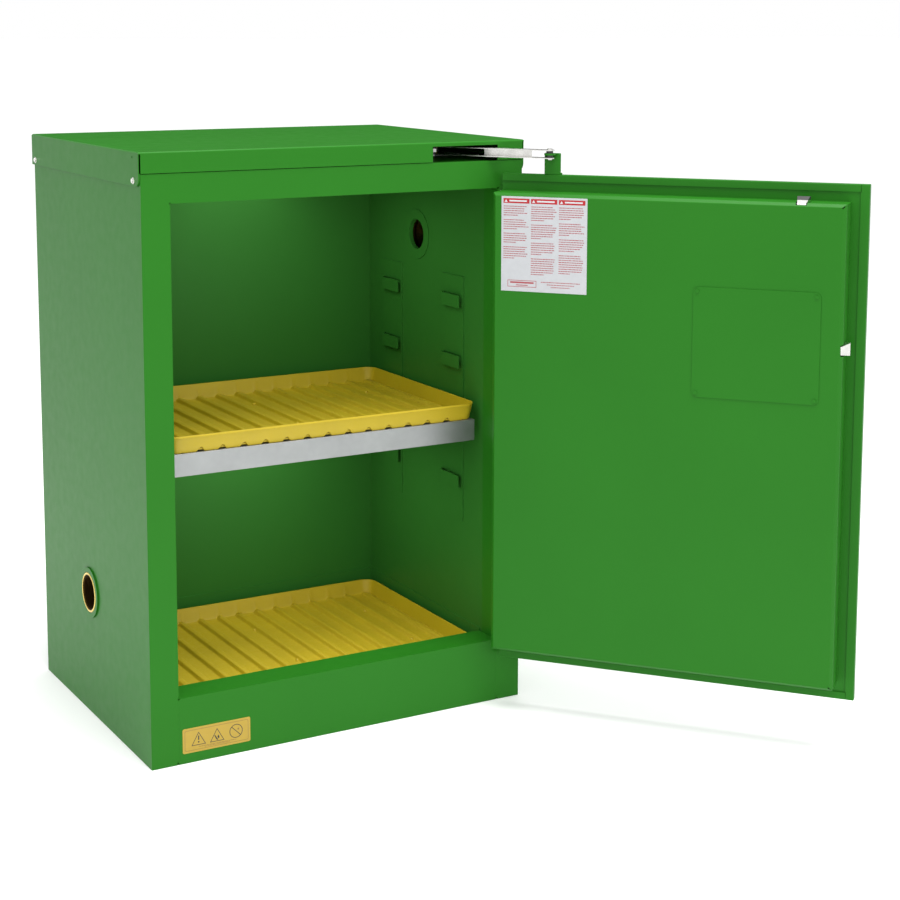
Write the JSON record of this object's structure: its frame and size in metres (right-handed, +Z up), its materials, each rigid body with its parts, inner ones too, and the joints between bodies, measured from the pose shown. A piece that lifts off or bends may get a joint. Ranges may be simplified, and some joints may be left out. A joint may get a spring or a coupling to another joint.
{
  "type": "flammable storage cabinet",
  "caption": "Double-walled sheet steel safety cabinet with one self-closing door, adjustable shelf, drip trays and vents.",
  "frame": {"origin": "centre of the cabinet box on the floor, the door's swing left out", "axes": "+Z up, the opening faces -Y, +X to the right where the door's hinge is"},
  "size_m": [0.9165, 0.8984, 0.862],
  "materials": {
    "green_outer": "semi-gloss powder coat",
    "green_inner": "semi-gloss powder coat",
    "green_door": "semi-gloss powder coat",
    "zinc": "galvanised sheet",
    "plated_steel": "zinc plated",
    "chrome": "polished",
    "brass": "satin",
    "yellow_tray": "fine texture",
    "white_label": "printed vinyl",
    "yellow_label": "printed vinyl",
    "dark_plastic": "moulded"
  },
  "bodies": {
    "cabinet": {"outer_side_left": "green_outer", "outer_side_right": "green_outer", "outer_back_panel": "green_outer", "base_panel": "green_outer", "top_deck": "green_outer", "top_rail": "green_outer", "sill_panel": "green_outer", "cap_cover": "green_outer", "cap_screws": "plated_steel", "inner_side_left": "green_inner", "inner_side_right": "green_inner", "inner_back_panel": "green_inner", "inner_top_panel": "green_inner", "sump_pan": "green_inner", "wall_spacers": "zinc", "shelf_standards_left": "green_inner", "shelf_standards_right": "green_inner", "vent_bungs": "green_outer", "vent_rings": "green_inner", "flame_arresters": "brass", "vent_plug": "green_outer", "hinge_leaf_frame": "green_outer", "hinge_pin": "plated_steel", "side_strike": "plated_steel", "top_strike": "plated_steel", "closer_base_plate": "plated_steel", "closer_pivot_stud": "plated_steel", "closer_spring": "plated_steel", "fusible_link": "brass", "ground_stud": "plated_steel", "caution_label": "yellow_label"},
    "door": {"door_skin": "green_door", "door_pan": "green_door", "hinge_leaf_door": "green_door", "latch_cover_plate": "green_door", "cover_rivets": "green_door", "plate_screws": "plated_steel", "closer_bracket": "green_door", "bracket_pin": "plated_steel", "bracket_bushes": "dark_plastic", "door_label": "white_label", "handle_plate": "chrome", "latch_case": "zinc", "bolt_guides": "zinc"},
    "handle": {"turn_handle": "chrome", "latch_spindle": "plated_steel", "latch_cam": "plated_steel"},
    "lock": {"lock_cylinder": "chrome"},
    "top_latch": {"top_rod": "plated_steel", "top_bolt": "plated_steel"},
    "side_latch": {"side_rod": "plated_steel", "side_bolt": "plated_steel"},
    "lever": {"closer_lever": "plated_steel", "lever_pin": "plated_steel", "lever_bushes": "dark_plastic"},
    "link": {"closer_link": "plated_steel"},
    "shelf": {"shelf_pan": "zinc", "shelf_hooks": "zinc"},
    "upper_tray": {"shelf_tray": "yellow_tray"},
    "lower_tray": {"floor_tray": "yellow_tray"}
  },
  "joints": [
    {"name": "door_swing", "type": "hinge", "parent": "cabinet", "child": "door", "pos_m": [0.259, -0.24, 0.443], "axis": [0, 0, 1], "range_deg": [-130, 0]},
    {"name": "closer_lever_turn", "type": "hinge", "parent": "cabinet", "child": "lever", "pos_m": [0.15275, -0.08248, 0.8445], "axis": [0, 0, 1], "range_deg": [-130, 0]},
    {"name": "closer_link_turn", "type": "hinge", "parent": "lever", "child": "link", "pos_m": [0.19307, -0.15309, 0.8445], "axis": [0, 0, 1], "range_deg": [0, 130]},
    {"name": "latch_turn", "type": "hinge", "parent": "door", "child": "handle", "pos_m": [0.54182, -0.56663, 0.606], "axis": [0.766, 0.6428, 0], "range_deg": [0, 40], "stiffness_Nm_per_rad": 0.3, "springref_deg": -17.19},
    {"name": "lock_turn", "type": "hinge", "parent": "handle", "child": "lock", "pos_m": [0.54182, -0.56663, 0.606], "axis": [0.766, 0.6428, 0], "range_deg": [0, 90]},
    {"name": "top_bolt_slide", "type": "slide", "parent": "door", "child": "top_latch", "axis": [0, 0, -1], "range_m": [0, 0.014]},
    {"name": "side_bolt_slide", "type": "slide", "parent": "door", "child": "side_latch", "axis": [-0.6428, 0.766, 0], "range_m": [0, 0.014]},
    {"name": "shelf_lift", "type": "slide", "parent": "cabinet", "child": "shelf", "axis": [0, 0, 1], "range_m": [0, 0.016]},
    {"name": "shelf_tray_lift", "type": "slide", "parent": "shelf", "child": "upper_tray", "axis": [0, 0, 1], "range_m": [0, 0.04]},
    {"name": "floor_tray_lift", "type": "slide", "parent": "cabinet", "child": "lower_tray", "axis": [0, 0, 1], "range_m": [0, 0.04]}
  ],
  "couplings": [
    {"joint": "closer_lever_turn", "follows": "door_swing", "ratio": 1},
    {"joint": "closer_link_turn", "follows": "door_swing", "ratio": -1},
    {"joint": "top_bolt_slide", "follows": "latch_turn", "m_per_rad": 0.02},
    {"joint": "side_bolt_slide", "follows": "latch_turn", "m_per_rad": 0.02}
  ]
}
